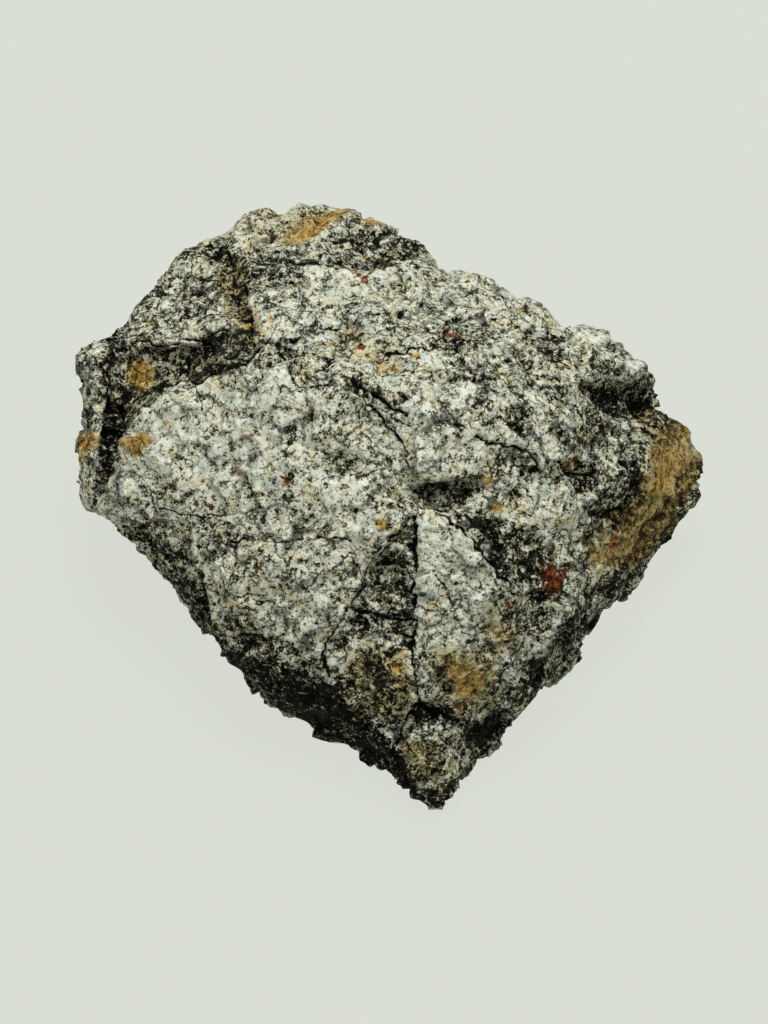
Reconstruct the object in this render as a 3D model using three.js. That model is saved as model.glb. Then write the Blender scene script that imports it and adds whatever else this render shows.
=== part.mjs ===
// A broken meteorite specimen: one solid piece of stone, as fracture left it, lying on a small flat spot.
// Millimetres, +Z up. The origin is on the table, under the middle of the stone's box.
//
// The stone is drawn as a net of corners, joined by flat facets. The corners that the eye meets are given as
// the eye meets them, looking down on the stone along +Y: across to the right, up the picture, and near,
// towards the eye. Corners on the hidden side are given on the table: x, y and the height above it.
import * as THREE from "three";
import { ConvexHull } from "three/addons/math/ConvexHull.js";
import { ImprovedNoise } from "three/addons/math/ImprovedNoise.js";
import { TessellateModifier } from "three/addons/modifiers/TessellateModifier.js";
import { mergeVertices } from "three/addons/utils/BufferGeometryUtils.js";

// Driving dimensions
const STONE_WIDTH = 42; // across X
const DRAWN_WIDTH = 42.1; // across X of the corners below, as drawn
const GAZE = THREE.MathUtils.degToRad(60); // how steeply the eye looks down
const EYE_LINE = 12; // height above the table of the middle of the drawing

// The broken surface
const LINE_STEP = 0.75; // between the corners along a line
const FACET = 1.7; // longest edge of a facet
const FACET_ROUNDS = 12; // times that a long facet may be halved
const SAME_POINT = 1e-3; // points closer than this are one
const EASED = 0.2; // share by which each corner is eased towards its neighbours
const LUMPS = { height: 0.5, length: 6.5 }; // rounded, out and in
const CHIPS = { height: 0.15, depth: 0.6, length: 2.6 }; // a level with sharp hollows in it
const WEAR_SEED = 3.7; // where in the noise the stone is cut from

// The outline that the eye sees, clockwise from the left corner: [across, up, near]
const RIM = [
  [-20.6, 10.5, -5.4], [-18.9, 11.6, -6], [-16.9, 12.8, -6.8], [-16.1, 14.3, -7.4], [-14.1, 16.7, -8.2],
  [-12.9, 17.9, -8.8], [-9.9, 19.5, -9.2], [-8.1, 20.4, -9.4], [-7.1, 20.0, -9.2], [-4.4, 20.9, -9.4],
  [-2.3, 20.3, -9.2], [0.9, 19.2, -8.6], [1.7, 18.3, -8], [2.7, 17.7, -7.2], [3.7, 16.3, -6.2],
  [4.2, 15.4, -5.2], [4.8, 16.1, -5.6], [5.7, 16.2, -6], [7.7, 15.1, -5.8], [9.4, 14.3, -5.6],
  [10.5, 14.1, -5.8], [11.1, 13.1, -5], [12.1, 12.4, -5], [13.1, 12.7, -5.6], [14.5, 11.9, -5.8],
  [15.7, 10.9, -5.8], [16.7, 9.7, -5.8], [18.2, 8.9, -6.2], [18.3, 7.3, -6.8], [18.0, 6.8, -6.6],
  [18.9, 6.0, -7], [20.4, 5.3, -7.6], [21.5, 4.1, -7.8], [21.3, 2.9, -8], [20.9, 1.0, -8],
  [19.2, -1.3, -7.4], [17.7, -3.5, -6.6], [16.4, -5.5, -6], [15.2, -5.8, -5.4], [14.4, -7.2, -5.2],
  [12.8, -9.5, -4.6], [12.1, -10.7, -4.4], [10.7, -11.5, -3.8], [9.7, -12.9, -3.6], [7.9, -14.5, -3],
  [6.1, -16.3, -2.6], [4.9, -17.9, -2.2], [4.3, -19.5, -1.8], [3.8, -20.0, -1.6], [1.6, -19.4, -1.8],
  [1.5, -18.1, -1.8], [-1.3, -16.6, -2.4], [-3.1, -15.7, -2.8], [-5.5, -13.8, -3.4], [-7.5, -13.0, -4.4],
  [-8.7, -11.9, -4], [-9.4, -10.7, -2.8], [-11.0, -8.9, -2.2], [-12.4, -7.3, -2.6], [-14.1, -5.5, -3.4],
  [-14.2, -4.6, -2.2], [-15.6, -3.5, -1.8], [-17.4, -1.4, -1.4], [-18.0, -0.6, -1.2], [-18.6, 0.1, -1.1],
  [-18.9, 0.3, -4], [-20.0, 0.3, -4.8], [-20.4, 1.5, -5], [-19.8, 3.3, -4.8], [-20.5, 4.5, -5.2],
  [-20.1, 5.6, -5], [-20.1, 8.1, -5.2],
];

// Lines inside the outline that edges, feet and floors of the breaks follow: [across, up, near]
const LINES = {
  fin_edge: [[-19.2, 1.0, -3.9], [-19.2, 3.2, -3.2], [-19.0, 5.6, -3], [-18.7, 8.0, -3], [-18.3, 9.8, -3.4]],
  cleft_floor: [
    [-18.75, 1.3, -3.8], [-18.4, 3.6, -4], [-18.0, 5.9, -4], [-17.5, 7.7, -3.8], [-15.8, 8.9, -3.4],
    [-13.7, 9.7, -2.6], [-11.0, 11.1, -1.2], [-8.8, 11.0, 0.8], [-7.1, 10.2, 2.8], [-5.9, 9.2, 4.4],
  ],
  main_lip: [
    [-18.5, 0.6, -0.5], [-18.1, 1.8, 0.6], [-17.5, 3.7, 1.4], [-16.9, 5.8, 2], [-16.5, 6.9, 2.4],
    [-15.3, 7.7, 2.8], [-13.5, 8.4, 3.4], [-10.1, 10.0, 4.3], [-8.1, 9.7, 4.8], [-6.3, 8.3, 5.5],
  ],
  main_lower_edge: [
    [-18.1, 0.3, -0.4], [-17.0, -0.6, 0.2], [-14.7, -1.3, 1.2], [-13.5, -2.2, 1.7], [-12.2, -4.9, 1.9],
    [-11.2, -7.2, 1.6], [-9.6, -8.7, 1.6], [-8.0, -9.6, 1.9], [-6.1, -10.5, 2.2], [-4.1, -10.7, 2.6],
    [-3.3, -11.7, 2.3], [-1.5, -12.7, 2], [-0.3, -14.7, 1.3], [0.7, -15.8, 1], [1.7, -17.3, 0.5],
  ],
  lower_wall: [
    [-8.2, -11.3, -0.9], [-5.8, -12.4, -0.8], [-3.4, -13.6, -0.4], [-1.4, -14.9, -0.4], [0.3, -16.7, -0.6],
  ],
  shelf_edge: [
    [-18.4, 11.0, -4.2], [-16.3, 11.5, -2.6], [-14.5, 11.3, -2], [-12.3, 11.7, -1.1], [-10.4, 12.4, -0.4],
  ],
  valley: [[-10.6, 18.0, -7], [-10.1, 16.6, -5.2], [-9.6, 14.8, -3.2], [-9.2, 13.2, -1.2]],
  saddle_side: [[-9.2, 17.0, -4.6], [-8.7, 15.4, -2.6], [-8.3, 13.6, -0.8], [-7.7, 12.2, 1]],
  saddle_back: [
    [-8.4, 16.9, -3.9], [-5.6, 16.8, -3.2], [-2.9, 16.7, -2.9], [0.2, 16.9, -3.2], [2.0, 16.5, -4],
  ],
  trough: [[-9.0, 18.0, -6.4], [-5.6, 17.7, -5.6], [-2.9, 17.6, -5.4], [0.2, 17.8, -5.7], [1.5, 17.6, -6.4]],
  block_side: [[-2.2, 8.0, 6.5], [-0.2, 6.2, 6.8], [1.2, 4.4, 6.9], [2.2, 2.9, 6.8]],
  block_side_foot: [[-2.9, 7.6, 6.0], [-0.9, 5.6, 6.2], [0.5, 3.8, 6.2], [1.6, 2.2, 6.0]],
  block_lip: [[2.3, 2.6, 6.7], [3.3, 2.2, 7], [4.9, 2.0, 7.1], [6.4, 2.4, 6.7]],
  block_pit: [[2.4, 1.6, 5.7], [3.6, 1.3, 5.4], [5.2, 1.2, 5.4], [6.4, 1.6, 5.8]],
  ledge: [[6.4, 4.8, 7.0], [8.4, 4.4, 6.2], [9.8, 4.1, 5.4], [10.6, 2.5, 4.6]],
  ledge_foot: [[6.5, 4.0, 6.5], [8.2, 3.6, 5.4], [9.2, 3.3, 4.9], [9.8, 2.0, 4.4]],
  wedge_left: [[1.2, -0.9, 6.2], [-0.9, -2.8, 5.8], [-2.6, -6.0, 4.8], [-4.0, -9.2, 3.5]],
  wedge_left_foot: [[0.4, -3.2, 5.3], [-1.6, -6.6, 4.1], [-3.1, -9.8, 3.0]],
  wedge_right: [[2.1, -0.4, 6.3], [2.2, -4.8, 5.6], [2.1, -9.2, 4.3], [2.3, -12.8, 3.1]],
  wedge_right_foot: [[1.6, -1.4, 5.9], [1.4, -4.8, 4.9], [1.3, -9.2, 3.5], [1.5, -12.8, 2.4]],
  overhang: [[12.9, 8.6, 0.6], [14.3, 8.5, -0.2], [16.0, 8.5, -1.6], [17.5, 8.3, -3.4]],
  overhang_hollow: [[12.9, 7.5, 0.2], [14.3, 7.3, -1.6], [16.0, 7.2, -3], [17.2, 7.1, -4.8]],
  right_foot: [[16, 4.2, 0.2], [15.9, 2.5, 0.4], [15.4, 0.7, 0.6], [14.1, 0, 1.2], [12.9, -1.9, 1.6]],
  flank_crease: [
    [17.0, 4.5, -1.6], [16.9, 2.5, -1.4], [16.4, 0.0, -1.2], [14.8, -1.0, -0.2], [13.7, -2.7, 0.2],
  ],
};

// Corners on the faces between those lines: [across, up, near]
const FACES = {
  main: [
    [-13.9, 2.8, 3], [-9.6, 5.5, 4.8], [-15.1, 0.6, 1.8], [-9.9, -0.5, 4.2], [-4.9, 2.1, 6],
    [-5.6, -3.9, 5.2], [-10.6, -4.6, 3.4], [-8.4, -7.6, 3], [-5.6, -8.6, 3.6], [-1.3, 1.8, 6.4],
    [-1.5, -1.2, 6.2],
  ],
  shelf: [
    [-16.3, 12.7, -5], [-14.6, 13.2, -4], [-13.3, 14.3, -4.6], [-12.9, 16.4, -6.8], [-11.4, 15.0, -4.2],
    [-11.4, 17.4, -7],
  ],
  back_plate: [
    [-7.6, 19.1, -7], [-5.6, 18.6, -5.6], [-2.6, 18.6, -5.4], [-0.2, 18.6, -5.9], [-5.2, 19.7, -8],
    [-1.3, 19.4, -7.6],
  ],
  saddle: [
    [-5.6, 13.1, 0.6], [-5.0, 10.8, 3.2], [-3.9, 15.0, -1], [-1.3, 13.8, 1], [1.7, 15.1, -1.6],
    [-2.3, 11.1, 3.8], [0.7, 11.5, 3.6], [3.0, 14.3, -1.4],
  ],
  centre_block: [[2.7, 6.5, 7.3], [5.4, 5.7, 7.1], [3.6, 4.0, 7.2]],
  below_the_pit: [[2.3, 0.4, 6], [4.2, 0.1, 6.2], [5.9, 0.5, 6.1], [7.4, 1.9, 5.8]],
  wedge: [[0.6, -6.6, 4.2], [-0.2, -4.9, 4.8], [0.2, -9.2, 3.4], [-1.4, -9.4, 3.4], [0.2, -12.2, 2.3]],
  front: [
    [3.5, -2.6, 6.1], [3.6, -5.4, 5.5], [3.5, -9.2, 4.3], [3.7, -12.6, 2.7], [4.1, -0.9, 6.4],
    [6.3, -3.2, 5.9], [7.9, -5.3, 4.9], [5.2, -7.5, 4.9], [6.4, -11.9, 2.7], [4.1, -14.9, 1.5],
    [3.1, -17.3, 0.8],
  ],
  tip: [[2.0, -18.2, 0.3], [3.2, -18.6, 0.4], [4.4, -18.0, -0.2]],
  right: [
    [1.1, 9.1, 5.8], [4.1, 11.1, 3.8], [6.4, 13.8, -0.4], [8.1, 11.1, 2.6], [10.7, 10.8, 0.4],
    [9.1, 7.5, 4.6], [12.1, 6.4, 2.6], [13.9, 5.2, 1.2], [9.1, -0.9, 5.2], [11.7, 0.4, 3.4],
    [9.7, -4.5, 4.2], [12.4, -5.5, 1.9], [12.9, 3.0, 2.4], [10.4, -8.5, 1.7], [8.7, -11.9, 0.4],
  ],
  right_block: [[11.7, 11.8, -2.6], [13.7, 10.7, -1.6], [16.1, 9.7, -2.8]],
  below_the_overhang: [[13.2, 6.3, 1], [14.6, 6.2, -0.7], [16.2, 6.0, -2.2], [17.5, 5.9, -3.8]],
  flank: [[19.2, 4.0, -4.6], [18.5, 0.5, -4.6], [16.5, -3.2, -3.8], [14.9, -3.6, -1.8], [13.7, -6.5, -1.4]],
};

// The hidden side: [x, y, height above the table]. The flat spot is drawn a little low, and cut at the table.
const FLAT_SPOT = [
  [-7, -3, -0.6], [-2.5, -6, -0.6], [3.5, -5.5, -0.6], [7.5, -1, -0.6], [7, 5.5, -0.6], [1.5, 8.5, -0.6],
  [-5, 8, -0.6], [-8.5, 2.5, -0.6],
];
const WALL_FEET = [
  [-17.8, 11.5, 5.5], [-16.8, 14.5, 6.5], [-13.5, 17.8, 7], [-9.5, 20.8, 7.5], [-4, 21.8, 8], [1, 19.8, 8],
  [4.4, 16.2, 8.5], [9.5, 15.4, 8], [14, 13.5, 6.5], [17.3, 11.5, 5.5], [19.6, 8, 3.2], [17.5, 3, 2.2],
  [13.2, -2.5, 1.7], [9.3, -7, 1.4], [5.5, -11.5, 1.2], [3.2, -14.2, 1], [0, -12.5, 1.2], [-4, -9.5, 1.3],
  [-7.6, -6.8, 1.5], [-10.5, -3.5, 2], [-13, -0.5, 2.8], [-15.5, 2, 4.2], [-17, 4, 5], [-18.2, 6.5, 4.5],
];
const UNDERSIDE = [
  [-13.5, 10.5, 1.6], [-14, 5, 1.5], [-9, 15.5, 2], [-2, 17, 2.2], [4.5, 13, 2], [10.5, 11.5, 1.8],
  [15.5, 8, 1.5], [13.5, 2.5, 1.2],
];

// Where the net's middle is in the drawing: every point of the rim can be seen from here
const HEART = { across: 0, up: 2.8 };

// From across, up and near to x, y and height, and back
const toTable = new THREE.Matrix4().makeRotationX(Math.PI / 2 - GAZE).setPosition(0, 0, EYE_LINE);
const toEye = toTable.clone().invert();

// How far the rim is from the heart, in the direction of an angle
function rimDistance(angle) {
  const ray = { x: Math.cos(angle), y: Math.sin(angle) };
  let distance = 0;
  RIM.forEach(([across, up], i) => {
    const [nextAcross, nextUp] = RIM[(i + 1) % RIM.length];
    const from = { x: across - HEART.across, y: up - HEART.up };
    const run = { x: nextAcross - across, y: nextUp - up };
    const slant = ray.x * run.y - ray.y * run.x;
    const along = (from.x * run.y - from.y * run.x) / slant;
    const share = (from.x * ray.y - from.y * ray.x) / slant;
    if (along > 0 && share >= 0 && share <= 1) distance = Math.max(distance, along);
  });
  return distance;
}

// A corner's place on the net, which is a ball: the eye's side is its near half and the rim its equator
function onNet(across, up, side) {
  const angle = Math.atan2(up - HEART.up, across - HEART.across);
  const reach = side === 0 ? 1 : Math.hypot(across - HEART.across, up - HEART.up) / rimDistance(angle);
  const polar = (Math.PI / 2) * (side < 0 ? 2 - reach : reach);
  return new THREE.Vector3(
    Math.sin(polar) * Math.cos(angle), Math.sin(polar) * Math.sin(angle), Math.cos(polar));
}

// A line's corners, and points between them no further apart than the line's step
function spaced(line) {
  const points = line.map((corner) => new THREE.Vector3(...corner));
  const filled = points.slice(0, 1);
  for (let i = 1; i < points.length; i++) {
    const steps = Math.ceil(points[i].distanceTo(points[i - 1]) / LINE_STEP);
    for (let k = 1; k <= steps; k++) filled.push(points[i - 1].clone().lerp(points[i], k / steps));
  }
  return filled;
}

// Every corner with its place on the net
function allCorners() {
  const corners = [];
  const add = (seen, side) => corners.push({
    net: onNet(seen.x, seen.y, side),
    place: seen.clone().applyMatrix4(toTable),
  });
  for (const corner of RIM) add(new THREE.Vector3(...corner), 0);
  for (const line of Object.values(LINES)) spaced(line).forEach((point) => add(point, 1));
  for (const corner of Object.values(FACES).flat()) add(new THREE.Vector3(...corner), 1);
  for (const corner of [...FLAT_SPOT, ...WALL_FEET, ...UNDERSIDE]) {
    add(new THREE.Vector3(...corner).applyMatrix4(toEye), -1);
  }
  return corners;
}

// The facets between the corners: the convex hull of their places on the net joins each to its neighbours
function facetsOf(corners) {
  const index = new Map(corners.map((corner, i) => [corner.net, i]));
  const hull = new ConvexHull().setFromPoints(corners.map((corner) => corner.net));
  const triangles = [];
  for (const face of hull.faces) {
    const first = face.edge;
    for (const edge of [first, first.next, first.next.next]) triangles.push(index.get(edge.head().point));
  }
  const geometry = new THREE.BufferGeometry().setFromPoints(corners.map((corner) => corner.place));
  return geometry.setIndex(triangles);
}

// Breaks long facets up, and joins the points that they share
function refine(geometry) {
  const fine = new TessellateModifier(FACET, FACET_ROUNDS).modify(geometry);
  for (const name of Object.keys(fine.attributes)) if (name !== "position") fine.deleteAttribute(name);
  return mergeVertices(fine, SAME_POINT);
}

// Eases each point towards the middle of its neighbours, which takes the knife edge off the facets
function ease(geometry) {
  const position = geometry.attributes.position;
  const index = geometry.index.array;
  const sums = Array.from({ length: position.count }, () => ({ total: new THREE.Vector3(), count: 0 }));
  const point = new THREE.Vector3();
  for (let i = 0; i < index.length; i++) {
    const next = index[i % 3 === 2 ? i - 2 : i + 1];
    sums[index[i]].total.add(point.fromBufferAttribute(position, next));
    sums[index[i]].count += 1;
  }
  sums.forEach(({ total, count }, i) => {
    point.fromBufferAttribute(position, i).lerp(total.divideScalar(count), EASED);
    position.setXYZ(i, point.x, point.y, point.z);
  });
}

// Roughens the surface with rounded lumps and sharper chips, and cuts it flat at the table
function roughen(geometry) {
  geometry.computeVertexNormals();
  const noise = new ImprovedNoise();
  const position = geometry.attributes.position;
  const point = new THREE.Vector3();
  const out = new THREE.Vector3();
  for (let i = 0; i < position.count; i++) {
    point.fromBufferAttribute(position, i);
    out.fromBufferAttribute(geometry.attributes.normal, i);
    const at = (length) => noise.noise(
      point.x / length + WEAR_SEED, point.y / length + WEAR_SEED, point.z / length + WEAR_SEED);
    const lump = LUMPS.height * at(LUMPS.length);
    const chip = CHIPS.height - CHIPS.depth * Math.abs(at(CHIPS.length));
    point.addScaledVector(out, lump + chip);
    position.setXYZ(i, point.x, point.y, Math.max(point.z, 0));
  }
}

// Sets the stone to its real width and its origin on the table, under the middle of its box
function place(geometry) {
  const share = STONE_WIDTH / DRAWN_WIDTH;
  geometry.scale(share, share, share);
  geometry.computeBoundingBox();
  const middle = geometry.boundingBox.getCenter(new THREE.Vector3());
  geometry.translate(-middle.x, -middle.y, -geometry.boundingBox.min.z);
}

function stone() {
  const geometry = refine(facetsOf(allCorners()));
  ease(geometry);
  roughen(geometry);
  place(geometry);
  geometry.computeVertexNormals();
  const material = new THREE.MeshStandardMaterial({ color: 0x8b8a82, roughness: 0.9, metalness: 0 });
  const mesh = new THREE.Mesh(geometry, material);
  mesh.name = "stone";
  return mesh;
}

const specimen = new THREE.Group();
specimen.add(stone());
export default specimen;
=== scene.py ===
# %% [markdown]
# # A broken piece of stony meteorite
# The object is one fragment of a stony meteorite, about 42 mm wide: pale grey grains packed with
# black specks, faces left by old breaks, thin black cracks, and rust where iron has weathered.
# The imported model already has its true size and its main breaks. This lesson makes the skin: it
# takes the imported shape, roughens it as a break in granular stone is rough, opens the cracks, and
# paints grain, dirt and rust with nodes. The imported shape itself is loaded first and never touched.

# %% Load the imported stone
import math

import bmesh
import bpy
import numpy as np
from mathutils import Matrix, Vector, noise
from mathutils.bvhtree import BVHTree


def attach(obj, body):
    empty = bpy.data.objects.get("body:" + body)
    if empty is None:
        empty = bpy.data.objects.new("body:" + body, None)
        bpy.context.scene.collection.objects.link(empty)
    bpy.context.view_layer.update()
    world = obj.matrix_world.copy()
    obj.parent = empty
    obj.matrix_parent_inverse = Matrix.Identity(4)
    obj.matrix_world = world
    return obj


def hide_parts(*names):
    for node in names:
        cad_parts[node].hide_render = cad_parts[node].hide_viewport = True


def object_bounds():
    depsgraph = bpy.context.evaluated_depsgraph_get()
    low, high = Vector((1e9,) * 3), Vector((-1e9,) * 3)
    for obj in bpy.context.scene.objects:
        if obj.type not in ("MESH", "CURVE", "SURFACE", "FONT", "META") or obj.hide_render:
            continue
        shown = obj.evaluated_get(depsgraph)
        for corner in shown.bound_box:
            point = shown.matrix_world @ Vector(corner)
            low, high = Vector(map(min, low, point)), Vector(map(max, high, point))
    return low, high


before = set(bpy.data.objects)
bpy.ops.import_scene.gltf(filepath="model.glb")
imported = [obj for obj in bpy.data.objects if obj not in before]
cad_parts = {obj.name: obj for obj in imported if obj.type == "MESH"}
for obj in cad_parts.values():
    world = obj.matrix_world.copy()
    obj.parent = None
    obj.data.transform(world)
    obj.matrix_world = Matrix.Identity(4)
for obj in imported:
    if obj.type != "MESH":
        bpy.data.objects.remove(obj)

MM = 0.001
NOISE_SEED = 1  # without a seed of its own the noise would follow the clock
PACKED_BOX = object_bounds()
noise.seed_set(NOISE_SEED)
packed_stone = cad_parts["stone"]
scene = bpy.context.scene
print("packed stone, mm:", [round((high - low) / MM, 2) for low, high in zip(*PACKED_BOX)])

# %% [markdown]
# ## Where the eye stands
# The stone is seen from steeply above, looking along +Y and 60 degrees down. Marks on the stone are
# easiest to give as the eye sees them, so many millimetres across and up from the middle of the
# picture, and so the eye comes before everything else. A long lens from far away keeps the
# proportions of the drawing; a short one close by would swell what is near.

# %% The eye and its three directions
LOOK_DOWN = math.radians(60)
PICTURE_PX = (768, 1024)
PX_PER_MM = 15
LENS = 300
SENSOR = 36
OUTLINE_MIDDLE = (0.4, 0.5)

ACROSS = Vector((1, 0, 0))
AHEAD = Vector((0, math.cos(LOOK_DOWN), -math.sin(LOOK_DOWN)))
UPWARD = ACROSS.cross(AHEAD)
packed_points = np.array([v.co for v in packed_stone.data.vertices])


def middle_along(direction):
    """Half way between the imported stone's two ends in a direction."""
    reach = packed_points @ np.array(direction)
    return (reach.min() + reach.max()) / 2


aim = (
    ACROSS * (middle_along(ACROSS) - OUTLINE_MIDDLE[0] * MM)
    + UPWARD * (middle_along(UPWARD) - OUTLINE_MIDDLE[1] * MM)
    + AHEAD * middle_along(AHEAD)
)
eye = aim - AHEAD * (PICTURE_PX[1] / PX_PER_MM * MM * LENS / SENSOR)
print("eye at, m:", [round(c, 3) for c in eye])

# %% The camera
NEAREST = 0.01
FURTHEST = 10
camera = bpy.data.objects.new("camera", bpy.data.cameras.new("camera"))
camera.data.lens = LENS
camera.data.sensor_width = SENSOR
camera.data.clip_start = NEAREST
camera.data.clip_end = FURTHEST
camera.location = eye
camera.rotation_euler = AHEAD.to_track_quat("-Z", "Y").to_euler()
scene.collection.objects.link(camera)
scene.camera = camera
print("camera:", LENS, "mm lens,", round((aim - eye).length / MM), "mm from the stone")

# %% [markdown]
# ## An even skin
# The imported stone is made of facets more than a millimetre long, which a break in real stone doesn't
# show. Subdividing them would keep their slivers. A voxel remesh instead wraps the same solid in
# small even squares, and a few rounds of averaging take the facets' edges off it.

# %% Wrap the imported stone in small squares
SQUARE = 0.28 * MM


def even_skin(source, name):
    """A new object with the source's shape in even small faces."""
    stone = bpy.data.objects.new(name, source.data.copy())
    scene.collection.objects.link(stone)
    remesh = stone.modifiers.new("even skin", "REMESH")
    remesh.mode = "VOXEL"
    remesh.voxel_size = SQUARE
    seen = stone.evaluated_get(bpy.context.evaluated_depsgraph_get())
    skin = bpy.data.meshes.new_from_object(seen)
    stone.modifiers.clear()
    stone.data = skin
    skin.materials.clear()
    return stone


stone = even_skin(packed_stone, "meteorite_stone")
print("even skin:", len(stone.data.vertices), "points,", len(stone.data.polygons), "faces")

# %% Take the facets' edges off
SOFTENING_ROUNDS = 3
SOFTENING = 0.5


def points_of(mesh):
    """All points of a mesh, one row each."""
    flat = np.empty(len(mesh.vertices) * 3)
    mesh.vertices.foreach_get("co", flat)
    return flat.reshape(-1, 3)


def edges_of(mesh):
    """The two ends of each edge, one row each."""
    flat = np.empty(len(mesh.edges) * 2, dtype=np.int32)
    mesh.edges.foreach_get("vertices", flat)
    return flat.reshape(-1, 2)


def softened(points, edges, rounds):
    """Points drawn part of the way to the mean of their neighbours, several times."""
    count = np.bincount(edges.ravel(), minlength=len(points))[:, None]
    for _ in range(rounds):
        total = np.zeros_like(points)
        np.add.at(total, edges[:, 0], points[edges[:, 1]])
        np.add.at(total, edges[:, 1], points[edges[:, 0]])
        points = points + SOFTENING * (total / count - points)
    return points


stepped = points_of(stone.data)
smooth = softened(stepped, edges_of(stone.data), SOFTENING_ROUNDS)
stone.data.vertices.foreach_set("co", smooth.ravel())
stone.data.update()
print("softened by up to", round(np.abs(smooth - stepped).max() / MM, 3), "mm")

# %% [markdown]
# ## Marks laid on the stone
# A crack or a stain is given as a short line of places as the eye sees them. To put it on the stone
# itself, each place becomes a ray from the eye, and where the ray meets the skin is where the mark
# lies in space. From there on it belongs to the stone and is right from any side. A little noise
# makes the lines wander, because nothing on a break runs straight.

# %% Lay a line of the picture on the skin
LINE_STEP = 0.12
WANDER_LENGTH = 0.7
DRAWN_IN = 0.99
skin_tree = BVHTree.FromPolygons(
    [v.co for v in stone.data.vertices], [p.vertices for p in stone.data.polygons]
)


def seen_at(across, up):
    """The point of the stone that the eye meets at a place of the picture, in millimetres."""
    hit = None
    while hit is None:
        through = aim + ACROSS * (across * MM) + UPWARD * (up * MM)
        hit = skin_tree.ray_cast(eye, through - eye)[0]
        across *= DRAWN_IN
        up *= DRAWN_IN
    return hit / MM


def laid(places, wander):
    """A line of the picture as points on the stone, wandering a little to both sides."""
    path = [places[0]]
    for (from_across, from_up), (to_across, to_up) in zip(places, places[1:]):
        steps = max(1, round(math.hypot(to_across - from_across, to_up - from_up) / LINE_STEP))
        for step in range(1, steps + 1):
            share = step / steps
            path.append(
                (
                    from_across + share * (to_across - from_across),
                    from_up + share * (to_up - from_up),
                )
            )
    points = []
    for across, up in path:
        sway = noise.noise_vector(Vector((across, up, 0)) / WANDER_LENGTH) * wander
        points.append(seen_at(across + sway.x, up + sway.y))
    return np.array(points)


def gap_to(line, points, reach):
    """How far each point is from a laid line; infinite outside its box widened by reach."""
    gap = np.full(len(points), np.inf)
    close = np.all((points > line.min(0) - reach) & (points < line.max(0) + reach), axis=1)
    apart = points[close][:, None, :] - line[None, :, :]
    gap[close] = np.sqrt((apart**2).sum(2).min(1))
    return gap


# %% [markdown]
# ## The cracks
# Old breaks that never parted run over the whole stone: dark ones round the wedge of the front and
# above the pit, and hair cracks over the large pale face. They are cut into the mesh, as only
# geometry catches the light and shows from the side. The mesh is made finer along them first,
# since a groove narrower than the faces it is cut in would come out as a row of dents.

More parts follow.
